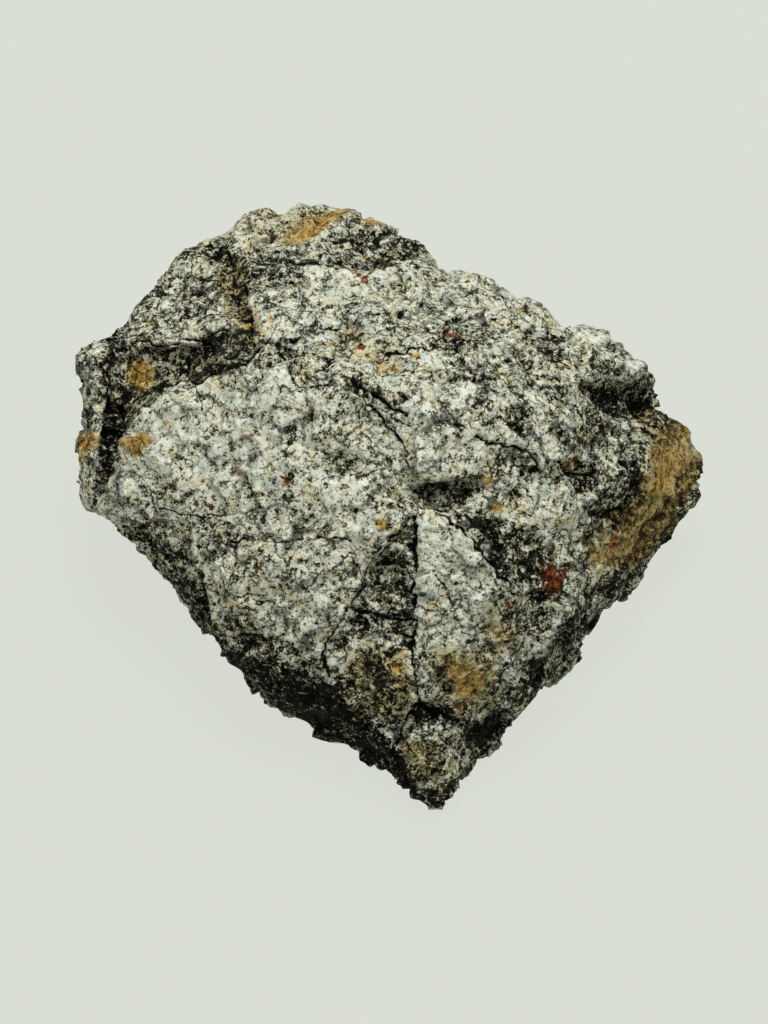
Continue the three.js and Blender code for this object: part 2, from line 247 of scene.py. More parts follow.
# %% Where the cracks run
# Each crack: half its width, its depth, and its places, all in millimetres.
CRACKS = {
    "wedge_right": (
        0.21, 0.5,
        [(1.9, -0.3), (2.0, -2.2), (1.9, -5.2), (1.8, -7.9), (1.6, -9.2), (2.1, -12.0), (2.2, -12.9)],
    ),
    "wedge_right_foot": (0.14, 0.35, [(2.1, -13.1), (1.2, -14.4), (0.7, -15.6)]),
    "tip_notch": (0.2, 0.5, [(2.0, -13.1), (2.7, -13.3), (4.1, -13.7)]),
    "wedge_left": (
        0.14, 0.25,
        [(1.9, -0.3), (0.1, -2.3), (-0.9, -3.7), (-1.5, -5.5), (-3.1, -7.6), (-4.1, -9.5),
         (-3.8, -10.9)],
    ),
    "wedge_cross": (0.16, 0.25, [(-2.1, -6.5), (-0.3, -7.1), (1.7, -7.3)]),
    "wedge_cross_low": (0.11, 0.2, [(-1.6, -7.9), (-0.4, -8.1), (0.7, -8.0), (1.6, -8.5)]),
    "front_right": (0.16, 0.3, [(2.5, 0.4), (3.8, 0.1), (5.6, -1.6), (7.5, -3.9), (8.9, -5.7)]),
    "fissure": (
        0.17, 0.5, [(-2.6, 8.4), (-1.6, 7.6), (-0.6, 6.8), (0.3, 5.7), (1.5, 3.7), (2.3, 2.8)]
    ),
    "fissure_upper": (0.18, 0.5, [(-2.3, 8.9), (-1.3, 8.3), (-0.5, 7.7), (1.4, 6.5)]),
    "block_curve": (0.1, 0.2, [(2.8, 6.7), (3.9, 6.0), (5.3, 5.6), (6.4, 4.9)]),
    "ledge": (0.2, 0.35, [(6.3, 5.1), (7.0, 4.5), (9.1, 4.2), (9.7, 4.0), (10.5, 2.4)]),
    "saddle": (
        0.16, 0.35,
        [(-8.6, 11.4), (-6.5, 11.5), (-5.0, 12.1), (-3.3, 12.3), (-1.2, 13.1), (1.6, 13.4), (3.9, 14.4)],
    ),
    "lip": (0.13, 0.28, [(-7.1, 11.3), (-6.5, 9.7), (-5.8, 8.3), (-4.1, 8.4), (-2.5, 8.6)]),
    "right_face": (0.15, 0.3, [(0.1, 10.5), (2.4, 11.0), (5.3, 11.3), (6.7, 12.1), (6.9, 12.8)]),
    "right_face_upper": (0.1, 0.18, [(5.7, 12.9), (7.5, 13.1), (10.3, 13.7)]),
    "block_right": (0.24, 0.4, [(10.3, 12.9), (10.9, 12.2), (11.6, 11.3), (12.0, 10.6)]),
    "block_foot": (0.14, 0.3, [(12.0, 10.6), (12.5, 9.8), (13.1, 9.2), (13.5, 8.4)]),
    "right_step": (0.3, 0.4, [(11.7, 3.5), (12.6, 2.6), (13.4, 2.2), (14.2, 2.3), (14.4, 2.8)]),
    "cleft_foot": (
        0.26, 0.5,
        [(-17.6, 4.4), (-17.0, 6.4), (-14.9, 7.9), (-12.1, 9.1), (-9.4, 10.1), (-8.0, 11.3)],
    ),
    "right_middle": (0.1, 0.2, [(7.5, 6.5), (8.6, 5.8), (9.9, 5.5), (10.6, 4.6), (11.2, 3.3)]),
    "flank_crease": (
        0.42, 0.7,
        [(13.4, -2.9), (13.9, -1.8), (14.9, -0.6), (16.2, -0.1), (16.8, 1.2), (16.4, 4.2), (16.9, 5.6)],
    ),
    "fin_gap": (
        0.45, 0.9, [(-18.7, 9.3), (-18.3, 7.9), (-18.1, 6.0), (-18.3, 4.2), (-18.6, 2.4), (-18.9, 1.0)]
    ),
    "block_end": (0.14, 0.3, [(17.4, 9.3), (17.1, 8.5), (17.4, 7.6)]),
    "hair_right_low": (0.09, 0.14, [(5.7, -4.9), (7.3, -6.1), (8.3, -7.3), (8.0, -8.9)]),
    "hair_right_top": (0.09, 0.14, [(8.3, 12.3), (8.9, 10.7), (9.9, 9.7), (10.3, 8.4)]),
    "hair_block": (0.09, 0.14, [(4.1, 10.1), (5.3, 9.3), (6.3, 9.1), (7.3, 8.1), (7.7, 6.9)]),
    "hair_front": (0.09, 0.14, [(3.4, -4.1), (4.3, -5.7), (4.9, -7.5), (6.1, -8.7)]),
    "hair_upper": (0.1, 0.15, [(-4.3, 4.1), (-3.5, 4.5), (-2.7, 4.7)]),
    "hair_middle": (0.1, 0.15, [(-1.7, 2.3), (-0.4, 2.7), (0.9, 2.9)]),
    "hair_left": (0.11, 0.16, [(-14.7, 0.2), (-12.1, -0.3), (-9.9, -0.2), (-7.9, 0.1)]),
    "hair_long": (
        0.12, 0.18,
        [(-12.4, -2.2), (-10.5, -2.1), (-9.5, -1.8), (-7.8, -1.9), (-5.1, -1.9), (-2.9, -1.7),
         (-2.1, -2.2)],
    ),
    "shelf_front": (
        0.16, 0.3,
        [(-18.4, 10.7), (-16.3, 11.4), (-14.5, 11.1), (-12.3, 11.5), (-10.5, 12.1)],
    ),
    "shelf_middle": (0.16, 0.28, [(-14.6, 14.7), (-12.9, 15.3), (-11.4, 15.7), (-10.0, 16.4)]),
    "shelf_back": (0.16, 0.28, [(-12.9, 17.7), (-10.9, 18.0), (-8.9, 17.8)]),
    "valley": (0.18, 0.35, [(-10.2, 17.2), (-9.6, 15.2), (-9.0, 13.3), (-9.1, 11.2)]),
}
CRACK_WANDER = 0.32
crack_lines = {name: laid(places, CRACK_WANDER) for name, (_, _, places) in CRACKS.items()}
print("cracks laid:", len(crack_lines), "with", sum(map(len, crack_lines.values())), "points")

# %% Make the mesh finer along the cracks
FINE_BAND = 0.28
FINE_CUTS = 2


def finer_along(mesh, lines):
    """Cuts every edge that lies close to a crack into shorter ones."""
    points = points_of(mesh) / MM
    close = np.zeros(len(points), dtype=bool)
    for line in lines:
        close |= gap_to(line, points, FINE_BAND) < FINE_BAND
    net = bmesh.new()
    net.from_mesh(mesh)
    net.verts.ensure_lookup_table()
    edges = [e for e in net.edges if close[e.verts[0].index] and close[e.verts[1].index]]
    bmesh.ops.subdivide_edges(net, edges=edges, cuts=FINE_CUTS, use_grid_fill=True)
    bmesh.ops.triangulate(net, faces=net.faces[:])
    net.to_mesh(mesh)
    net.free()


finer_along(stone.data, crack_lines.values())
print("after refining:", len(stone.data.polygons), "triangles")

# %% [markdown]
# ## Patches
# Dark places on the stone are mostly sunken ones: the cleft on the left, the pit, the foot of the
# overhang, the wedge. Each is an outline as the eye sees it, and takes in the points that the eye
# meets inside it, not those that lie behind. Noise moves the points about before they are tested,
# so that no edge is a ruled line. The same patch later sinks the mesh and darkens the finish. That
# darkening is painted shade for the most part, in hollows, under ledges and on walls turned from the
# light, and in part the stone's own darker surface.

# %% Noise at a point
ROUGHNESS_FADE = 1.0
OCTAVE_STEP = 2.0
ELSEWHERE = Vector((17.3, 5.1, 9.7))
# Each use of the noise is so many steps elsewhere, so that no two show the same waves.
STEPS_ELSEWHERE = {
    "lumps": 1, "grains": 3, "chips": 4, "splinters": 5, "pinch": 6, "hidden_dark": 7,
    "hidden_rust": 8, "sway_across": 9, "sway_up": 10, "slabs": 11,
}


def layered(points, size, octaves, use):
    """Noise at each point, about -1 to 1, in waves of a size in millimetres."""
    shift = ELSEWHERE * STEPS_ELSEWHERE[use]
    values = [
        noise.fractal(Vector(p) / size + shift, ROUGHNESS_FADE, OCTAVE_STEP, octaves)
        for p in points
    ]
    return np.array(values)


# %% Which points the eye meets, and where
SKIN_DEPTH = 0.35 * MM
MET_ROUNDS = 4
# Each wave of a ragged edge: its size, and how far it moves the edge.
RAGGED = [(1.7, 0.32), (0.5, 0.2)]


def as_seen(points):
    """Where the eye sees each point, in millimetres across and up."""
    rays = points * MM - np.array(eye)
    nearer = (aim - eye).length / (rays @ np.array(AHEAD))
    return rays @ np.array(ACROSS) * nearer / MM, rays @ np.array(UPWARD) * nearer / MM


def met_by_the_eye(points):
    """1 for points with nothing between them and the eye, 0 for hidden ones, soft between them."""
    met = np.zeros((len(points), 1))
    for index, point in enumerate(points * MM):
        ray = Vector(point) - eye
        met[index] = skin_tree.ray_cast(eye, ray, ray.length - SKIN_DEPTH)[0] is None
    return softened(met, edges_of(stone.data), MET_ROUNDS)[:, 0]


even_points = points_of(stone.data) / MM
met = met_by_the_eye(even_points)
seen_across, seen_up = as_seen(even_points)
for size, sway in RAGGED:
    seen_across += sway * layered(even_points, size, octaves=1, use="sway_across")
    seen_up += sway * layered(even_points, size, octaves=1, use="sway_up")
print("met by the eye:", round(100 * met.mean()), "% of the points")

# %% Inside an outline
SOFT_EDGE = 0.32


def inside(outline):
    """1 well inside an outline of the picture, 0 well outside, fading across its edge."""
    crossings = np.zeros(len(even_points), dtype=int)
    gap = np.full(len(even_points), np.inf)
    for (x0, y0), (x1, y1) in zip(outline, outline[1:] + outline[:1]):
        between = (y0 > seen_up) != (y1 > seen_up)
        slope = (x1 - x0) / (y1 - y0) if y1 != y0 else 0.0
        crossings += between & (seen_across < x0 + (seen_up - y0) * slope)
        along = (seen_across - x0) * (x1 - x0) + (seen_up - y0) * (y1 - y0)
        along = np.clip(along / ((x1 - x0) ** 2 + (y1 - y0) ** 2), 0, 1)
        aside = np.hypot(seen_across - x0 - along * (x1 - x0), seen_up - y0 - along * (y1 - y0))
        gap = np.minimum(gap, aside)
    signed = np.where(crossings % 2 == 1, gap, -gap)
    return np.clip(0.5 + signed / (2 * SOFT_EDGE), 0, 1) * met


def patched(patches):
    """How strongly each point is marked by patches of a strength and an outline."""
    mask = np.zeros(len(even_points))
    for strength, outline in patches.values():
        mask = np.maximum(mask, strength * inside(outline))
    return mask


# %% Where the dark patches are
# Each patch: how dark it is, as painted shade for the most part and darker stone in part, how deep
# it is sunk, and its outline, in millimetres.
SHADE_AND_DARK_PATCHES = {
    "cleft": (
        0.7, 0.6,
        [(-18.9, 10.2), (-15.7, 11.3), (-13.1, 11.1), (-9.3, 12.5), (-8.3, 10.5), (-11.3, 9.4),
         (-16.5, 7.1), (-17.6, 4.6), (-18.9, 1.1), (-19.3, 6.1)],
    ),
    "lip_shade": (
        1.5, 0.0,
        [(-17.0, 8.0), (-12.9, 9.8), (-10.3, 10.6), (-8.6, 10.9), (-8.8, 10.1), (-10.3, 9.8),
         (-12.9, 9.1), (-16.6, 7.3)],
    ),
    "cleft_left": (
        1.1, 0.0,
        [(-19.1, 9.8), (-17.3, 9.4), (-16.9, 7.6), (-17.6, 4.6), (-18.9, 1.1), (-19.3, 6.1)],
    ),
    "valley": (0.8, 0.3, [(-10.7, 17.1), (-9.6, 16.9), (-8.5, 12.1), (-9.6, 11.8), (-10.9, 16.0)]),
    "shelf_front": (
        0.9, 0.0, [(-19.6, 11.3), (-18.0, 12.6), (-15.4, 12.2), (-15.4, 11.2), (-18.6, 10.6)]
    ),
    "shelf": (
        0.38, 0.0,
        [(-18.1, 11.5), (-15.6, 14.1), (-12.3, 16.0), (-10.6, 14.8), (-9.9, 12.1), (-15.6, 11.6)],
    ),
    "shelf_edge": (
        1.0, 0.0,
        [(-20.0, 11.1), (-16.9, 14.1), (-13.3, 17.8), (-12.1, 18.1), (-15.5, 13.3), (-17.6, 11.3)],
    ),
    "shelf_back": (
        0.85, 0.2,
        [(-13.3, 17.7), (-11.9, 18.3), (-10.3, 18.1), (-9.1, 17.1), (-9.9, 16.1), (-13.1, 16.9)],
    ),
    "trough": (
        1.0, 0.3, [(-9.3, 17.5), (-4.3, 17.0), (2.7, 17.7), (2.7, 16.9), (-1.6, 16.3), (-8.9, 16.5)]
    ),
    "trough_left": (0.65, 0.0, [(-10.6, 17.5), (-5.6, 16.9), (-5.6, 15.2), (-9.7, 14.3)]),
    "trough_right": (
        0.9, 0.3, [(-4.2, 18.2), (-2.1, 19.1), (0.7, 18.9), (2.7, 17.7), (2.4, 17.1), (-1.3, 17.3)]
    ),
    "saddle_foot": (
        0.4, 0.0, [(-9.4, 11.2), (-6.6, 11.6), (-2.6, 10.4), (-2.2, 9.0), (-5.8, 9.0), (-8.6, 10.2)]
    ),
    "fissure_mouth": (
        0.7, 0.35, [(-3.1, 9.2), (-0.6, 8.8), (1.6, 7.6), (0.9, 6.6), (-0.4, 6.9), (-2.9, 8.3)]
    ),
    "block_side": (
        0.2, 0.2, [(-2.6, 8.4), (-0.6, 6.8), (2.3, 2.7), (1.7, 2.3), (-1.1, 5.8), (-2.8, 7.5)]
    ),
    "right_face": (
        0.32, 0.15,
        [(1.7, 12.8), (3.9, 13.0), (7.7, 12.8), (11.7, 12.1), (12.4, 7.5), (9.1, 7.5), (5.7, 8.5),
         (3.2, 10.0)],
    ),
    "right_face_knot": (1.3, 0.1, [(3.8, 12.3), (5.0, 12.5), (5.3, 11.6), (4.6, 10.9), (3.8, 11.3)]),
    "right_top": (1.1, 0.3, [(10.3, 11.9), (11.2, 12.4), (12.1, 11.6), (11.9, 9.8), (10.6, 9.7)]),
    "overhang": (
        1.0, 0.9,
        [(13.1, 8.5), (14.7, 9.1), (17.9, 8.5), (18.9, 8.0), (18.9, 6.9), (17.1, 6.3), (14.5, 6.7)],
    ),
    "right_slope": (
        0.5, 0.3,
        [(11.7, 6.1), (13.7, 7.2), (16.3, 6.3), (17.1, 4.8), (16.7, 2.8), (14.7, 3.1), (11.9, 4.4)],
    ),
    "right_middle": (1.1, 0.25, [(7.9, 6.7), (9.1, 7.2), (9.9, 6.3), (9.7, 5.0), (8.5, 4.7)]),
    "right_band": (
        0.4, 0.25,
        [(6.3, 5.1), (9.7, 4.1), (10.9, 2.8), (11.7, 3.8), (14.7, 2.9), (14.1, 1.7), (9.6, 1.7),
         (6.8, 4.0)],
    ),
    "ledge_foot": (0.4, 0.3, [(7.7, 4.1), (9.6, 4.0), (10.9, 1.7), (9.9, 1.7), (8.8, 2.8)]),
    "right_low": (
        0.95, 0.4, [(11.2, 3.4), (12.7, 3.4), (14.0, 3.4), (15.2, 2.7), (14.8, 1.3), (13.1, 1.1)]
    ),
    "flank_step": (
        1.8, 0.3,
        [(14.2, -0.2), (15.8, 0.5), (16.5, 1.1), (17.0, 0.3), (15.6, -0.6), (14.4, -1.0), (13.6, -2.2)],
    ),
    "crease": (
        1.5, 0.4,
        [(13.5, 0.3), (15.9, -0.3), (16.8, 2.5), (16.5, 4.0), (17.1, 4.8), (17.5, 0.5), (16.8, -0.8),
         (14.3, -1.3)],
    ),
    "flank_top": (0.85, 0.0, [(16.6, 6.6), (18.4, 6.9), (20.0, 5.6), (19.4, 4.7), (17.2, 4.7)]),
    "flank_foot": (0.35, 0.0, [(14.2, -1.0), (16.6, -0.4), (17.6, -2.9), (15.0, -4.2), (13.4, -3.4)]),
    "flank_low": (0.5, 0.0, [(13.7, 0.5), (15.2, -0.9), (13.1, -5.9), (11.7, -5.9), (12.7, -1.9)]),
    "block_upper": (0.7, 0.0, [(13.2, 11.0), (14.6, 10.4), (16.2, 9.2), (15.4, 8.8), (13.4, 9.8)]),
    "block_end": (0.9, 0.0, [(17.4, 9.4), (18.6, 9.2), (18.8, 7.2), (17.5, 7.2), (17.1, 8.4)]),
    "crease_left": (0.9, 0.0, [(14.0, 2.8), (16.6, 2.8), (16.6, -0.4), (14.2, -0.6)]),
    "front_slope": (0.5, 0.2, [(6.9, -4.6), (10.9, -5.9), (11.9, -8.0), (8.6, -8.4), (7.4, -6.6)]),
    "rim_inner": (0.5, 0.0, [(5.7, -14.0), (8.9, -12.2), (11.5, -9.4), (10.9, -8.8), (7.0, -12.4)]),
    "chamfer_inner": (
        1.1, 0.0, [(-15.2, -0.6), (-12.9, -2.6), (-11.8, -5.4), (-13.0, -6.4), (-14.6, -3.9)]
    ),
    "pit": (0.4, 0.6, [(1.8, 1.9), (2.7, 1.8), (6.5, 2.1), (6.7, 1.4), (3.7, 0.1), (2.0, 1.1)]),
    "below_the_pit_core": (
        1.3, 0.0,
        [(8.0, -0.9), (10.2, -1.2), (11.4, -2.5), (10.8, -4.6), (8.6, -3.9), (7.8, -2.2)],
    ),
    "below_the_pit": (
        1.0, 0.35,
        [(4.2, 0.2), (8.1, -0.7), (10.4, -1.5), (11.9, -2.9), (12.1, -5.9), (10.4, -6.3), (7.8, -3.9)],
    ),
    "wedge": (
        0.5, 0.3,
        [(1.9, -0.5), (2.1, -5.9), (1.6, -9.5), (-0.6, -8.5), (-2.1, -8.7), (-4.1, -10.1), (-2.5, -6.8),
         (-0.8, -3.9)],
    ),
    "wedge_band": (0.85, 0.0, [(-2.3, -6.7), (1.9, -6.5), (1.9, -8.1), (-2.4, -7.9)]),
    "wedge_foot": (
        0.75, 0.0, [(-2.6, -10.6), (-1.2, -9.4), (0.7, -9.3), (1.7, -11.9), (1.1, -15.2), (-3.3, -12.9)]
    ),
    "front_low": (
        0.35, 0.0, [(2.1, -9.5), (4.1, -9.2), (7.1, -10.2), (7.7, -11.9), (5.7, -13.9), (2.1, -12.5)]
    ),
    "main_low": (
        0.12, 0.0, [(-16.3, 0.8), (-12.3, 1.1), (-8.3, -0.5), (-7.3, -4.5), (-9.3, -8.5), (-14.3, -1.9)]
    ),
    "lower_wall": (
        1.7, 0.0,
        [(-13.4, -5.9), (-10.9, -9.0), (-5.6, -10.2), (-3.1, -11.5), (0.9, -15.7), (2.4, -18.8),
         (1.4, -18.8), (-6.9, -13.6), (-11.7, -9.2)],
    ),
    "lower_wall_top": (
        0.9, 0.0,
        [(-10.8, -7.0), (-6.6, -8.5), (-2.9, -10.7), (-1.7, -12.7), (-5.6, -10.0), (-9.3, -9.3)],
    ),
    "left_chamfer": (
        1.0, 0.0,
        [(-17.3, -0.4), (-13.9, -1.8), (-12.0, -5.2), (-10.2, -9.3), (-9.6, -11.3), (-13.6, -6.2),
         (-17.6, -1.6)],
    ),
    "fin": (
        0.5, 0.0, [(-20.6, 11.2), (-18.9, 10.4), (-18.6, 1.0), (-19.9, 0.2), (-20.5, 3.0), (-19.9, 6.5)]
    ),
    "fin_shade": (
        0.7, 0.0, [(-19.2, 9.8), (-18.5, 9.3), (-18.9, 5.5), (-18.9, 1.3), (-19.6, 2.1), (-19.5, 7.5)]
    ),
    "tip": (0.55, 0.0, [(1.2, -17.2), (5.7, -15.7), (4.8, -18.7), (3.9, -19.9), (2.3, -19.6)]),
    "tip_bottom": (
        1.6, 0.0,
        [(1.2, -17.8), (2.4, -18.5), (3.6, -18.8), (4.6, -17.6), (5.3, -17.3), (4.5, -19.4),
         (3.6, -20.6), (1.3, -20.0)],
    ),
    "tip_shoulder": (
        1.6, 0.2, [(4.9, -13.9), (6.4, -13.9), (7.9, -13.5), (8.4, -14.4), (6.8, -15.8), (5.2, -15.3)]
    ),
    "tip_right": (
        0.6, 0.0, [(3.6, -14.6), (6.2, -13.9), (6.3, -15.6), (5.0, -18.4), (3.9, -18.6), (3.6, -16.4)]
    ),
    "tip_notch": (1.5, 0.2, [(1.9, -12.9), (4.1, -13.2), (5.2, -14.2), (3.0, -14.4), (1.6, -13.8)]),
    "tip_top": (0.45, 0.0, [(1.1, -14.9), (5.7, -14.0), (5.7, -15.7), (1.4, -16.9)]),
    "right_rim": (
        1.1, 0.0,
        [(4.7, -17.5), (7.7, -13.3), (12.3, -6.6), (17.4, -1.6), (21.2, 3.3), (21.7, 3.3), (19.9, -2.2),
         (15.3, -7.9), (9.2, -14.9), (6.1, -18.0)],
    ),
}
# The patches' dark is painted shade for the most part, and darker stone in part.
painted_shade_and_dark = np.zeros(len(even_points))
sunk = np.zeros(len(even_points))
for strength, depth, outline in SHADE_AND_DARK_PATCHES.values():
    covered = inside(outline)
    painted_shade_and_dark = np.maximum(painted_shade_and_dark, strength * covered)
    sunk = np.maximum(sunk, depth * covered)
print("dark patches:", len(SHADE_AND_DARK_PATCHES), "sunk by up to", round(sunk.max(), 2), "mm")

# %% [markdown]
# ## The broken surface
# Granular stone breaks round its grains, not through them, and it leaves flat chips that meet in
# small steps. Noise alone would only make it lumpy. So the skin is cut into cells, each one a chip
# that is tilted its own way: chips and splinters everywhere, and large slabs on the sides turned
# away from the eye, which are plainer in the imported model. Lumps and grains are noise. A modifier
# could displace the skin too, but noise in Python leaves one plain mesh to cut the cracks in.

# %% Lumps and grains
LUMPS = {"size": 3.4, "height": 0.24, "octaves": 3}
GRAINS = {"size": 0.55, "height": 0.11, "octaves": 2}


def normals_of(mesh):
    """The outward direction at each point, one row each."""
    flat = np.empty(len(mesh.vertices) * 3)
    mesh.vertex_normals.foreach_get("vector", flat)
    return flat.reshape(-1, 3)


normals = normals_of(stone.data)
lumps = layered(even_points, LUMPS["size"], LUMPS["octaves"], "lumps")
grains = layered(even_points, GRAINS["size"], GRAINS["octaves"], "grains")
swell = LUMPS["height"] * lumps + GRAINS["height"] * grains
print("lumps and grains, mm:", round(swell.min(), 2), "to", round(swell.max(), 2))

# %% Which points are turned away from the eye
FACING_FROM = 0.1
FACING_FADE = 0.5
facing = normals @ -np.array(AHEAD)
turned_away = np.clip((FACING_FROM - facing) / FACING_FADE, 0, 1) * (1 - met)
print("turned away:", round(100 * turned_away.mean()), "% of the points")

# %% Chips, and slabs on the sides that are turned away
CHIPS = {"size": 2.2, "tilt": 0.5, "bend": 0.3}
SPLINTERS = {"size": 0.95, "tilt": 0.26, "bend": 0.3}
SLABS = {"size": 6.0, "tilt": 0.28, "bend": 0.2}
BEND_RATE = 1.7
CELL_SPREAD = 31.7
NO_TILT = Vector((0.5, 0.5, 0.5))


def chipped(points, layer, use):
    """How high each point stands on its tilted chip, and how far it is from the next one."""
    heights = np.empty(len(points))
    seams = np.empty(len(points))
    for index, point in enumerate(points):
        place = Vector(point) / layer["size"] + ELSEWHERE * STEPS_ELSEWHERE[use]
        place += noise.noise_vector(place * BEND_RATE) * layer["bend"]
        gaps, centres = noise.voronoi(place)
        tilt = noise.cell_vector(centres[0] * CELL_SPREAD) - NO_TILT
        heights[index] = tilt.dot(place - centres[0])
        seams[index] = gaps[1] - gaps[0]
    return heights * layer["tilt"] * layer["size"], seams * layer["size"]


chip_height, seam_gap = chipped(even_points, CHIPS, "chips")
splinter_height, _ = chipped(even_points, SPLINTERS, "splinters")
slab_height, _ = chipped(even_points, SLABS, "slabs")
swell = swell + chip_height + splinter_height + slab_height * turned_away
print("chips, mm:", round(chip_height.min(), 2), "to", round(chip_height.max(), 2))

# %% [markdown]
# ## The far rim
# Along the back and at the right end, the roughness leaves the outline a little lean. A few soft
# bulges fill it out. Points could be pulled by hand, but a bulge is only a height, a radius and the
# line that it follows, and it keeps the grain that is already there.

# %% Fill out the far rim
# Each bulge: its height, its radius, and the line that it follows.
BULGES = [
    (0.5, 2.6, [(-16.3, 13.7), (-12.3, 18.0), (-9.0, 19.3), (-6.0, 20.2)]),
    (0.35, 2.0, [(-1.8, 20.0), (0.4, 18.9), (2.4, 17.9)]),
    (0.3, 1.6, [(5.0, 16.0), (7.0, 15.4)]),
    (0.6, 2.0, [(15.6, 10.8), (16.8, 9.8)]),
    (0.6, 1.4, [(17.4, 9.2), (18.1, 8.7)]),
    (0.65, 2.2, [(18.2, 6.4), (19.6, 5.5)]),
]
for height, radius, places in BULGES:
    gap = gap_to(laid(places, wander=0), even_points, radius)
    swell = swell + height * np.clip(1 - (gap / radius) ** 2, 0, 1) ** 2
print("bulges along the far rim:", len(BULGES))

# %% [markdown]
# ## Sinking and cutting
# Now the patches sink and the cracks are cut: each point moves along its own outward direction, by
# what all the layers add up to. Cutting with a blade and a Boolean would leave clean edges, which a
# crack doesn't have. Here noise pinches it, so that it is wide in some places and narrow in others.
# Of a wide crack only the middle is marked black, as its sides are dark from their own shade.

# %% Sink the patches and cut the cracks
PINCH = {"size": 1.2, "octaves": 2, "mean": 0.85, "swing": 0.7, "most": 0.6}
CRACK_FILL = 1.6
WIDEST_BLACK = 0.22
GROOVE_REACH = 2
pinch = layered(even_points, PINCH["size"], PINCH["octaves"], "pinch")
pinch = PINCH["mean"] + PINCH["swing"] * np.clip(pinch, -PINCH["most"], PINCH["most"])
crack_mask = np.zeros(len(even_points))
swell = swell - sunk
for name, (half_width, depth, _) in CRACKS.items():
    gap = gap_to(crack_lines[name], even_points, half_width * GROOVE_REACH)
    groove = np.clip(1 - gap / (half_width * pinch), 0, 1)
    swell = swell - depth * np.sqrt(groove)
    bottom = np.clip(1 - gap / (min(half_width, WIDEST_BLACK) * pinch), 0, 1)
    crack_mask = np.maximum(crack_mask, np.clip(CRACK_FILL * bottom, 0, 1))
points = even_points + normals * swell[:, None]
print("points in a crack:", int((crack_mask > 0).sum()))

# %% [markdown]
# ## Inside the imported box
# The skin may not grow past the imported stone, and it has to stand on its flat spot. Points that the
# roughness pushed out of the box are set back on its sides, which leaves the small flat places that
# a stone gets where it rubs.

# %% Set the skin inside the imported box
low, high = (np.array(corner) / MM for corner in PACKED_BOX)
outside = np.any((points < low) | (points > high), axis=1)
points = np.clip(points, low, high)
stone.data.vertices.foreach_set("co", (points * MM).ravel())
stone.data.polygons.foreach_set("use_smooth", [True] * len(stone.data.polygons))
stone.data.update()
print("points set back:", int(outside.sum()))

# %% [markdown]
# ## Hollows
# Light hardly reaches the bottom of a hollow, and the finish paints it darker still: painted shade.
# How hollow a place is comes from the mesh: let it go slack for some rounds, and see how far each
# point rises along its own outward direction. A short slackening finds the gaps between grains, a
# long one the clefts.

# %% Measure the hollows
FINE_ROUNDS = 8
BROAD_ROUNDS = 70
FINE_HOLLOW = 0.14
BROAD_HOLLOW = 0.5


def hollowness(rounds, full):
    """0 on flat and raised places, up to 1 in hollows of the depth called full."""
    slack = softened(points, edges_of(stone.data), rounds)
    rise = ((slack - points) * normals_of(stone.data)).sum(1)
    return np.clip(rise / full, 0, 1)


fine_hollow = hollowness(FINE_ROUNDS, FINE_HOLLOW)
broad_hollow = hollowness(BROAD_ROUNDS, BROAD_HOLLOW)
print("mean hollowness:", round(fine_hollow.mean(), 3), round(broad_hollow.mean(), 3))

# %% [markdown]
# ## Stains
# Iron in the stone has rusted: orange on the right flank, on the lip of the large face and along the
# back, in ochre spots and in small red-brown grains. Round the rust the stone is olive. Where light
# falls most, on the large face, the block, the saddle and the front, the stone is painted paler:
# painted light. Broad stains and painted light are patches like the dark ones. A spot is a short
# line with a radius, laid on the stone like a crack.

# %% Where the rust, the olive and the painted light are
# Each patch: its strength and its outline.
RUST_PATCHES = {
    "flank": (
        0.55,
        [(18.1, 5.3), (19.4, 5.8), (21.5, 3.5), (19.7, 0.1), (17.4, -3.2), (14.7, -3.9), (13.9, -3.2),
         (16.7, 0.1), (17.6, 1.1), (17.0, 2.1), (17.8, 2.9), (17.3, 4.0)],
    ),
    "flank_core": (
        0.8, [(17.3, 4.0), (19.9, 4.7), (20.5, 3.8), (18.7, 0.9), (17.9, 0.6), (17.3, 1.6), (18.1, 2.6)]
    ),
    "lip": (0.9, [(-17.5, 4.8), (-16.3, 5.3), (-15.3, 4.8), (-16.6, 3.3)]),
    "back_streak": (
        0.9, [(-7.0, 17.9), (-6.3, 18.7), (-3.6, 19.9), (-2.6, 20.3), (-2.1, 19.9), (-5.6, 17.8)]
    ),
    "back_rim": (0.6, [(-2.1, 20.1), (0.9, 19.3), (0.2, 18.8), (-1.3, 19.1)]),
    "front": (
        0.75, [(4.0, -9.5), (6.5, -10.2), (7.1, -11.2), (6.5, -12.5), (5.2, -12.9), (4.4, -12.0)]
    ),
    "fin_knob": (0.9, [(-20.7, 5.1), (-19.6, 5.4), (-19.0, 4.7), (-20.1, 3.4)]),
    "front_right": (0.55, [(6.6, -7.2), (9.1, -8.0), (8.4, -8.6), (7.1, -8.2)]),
}
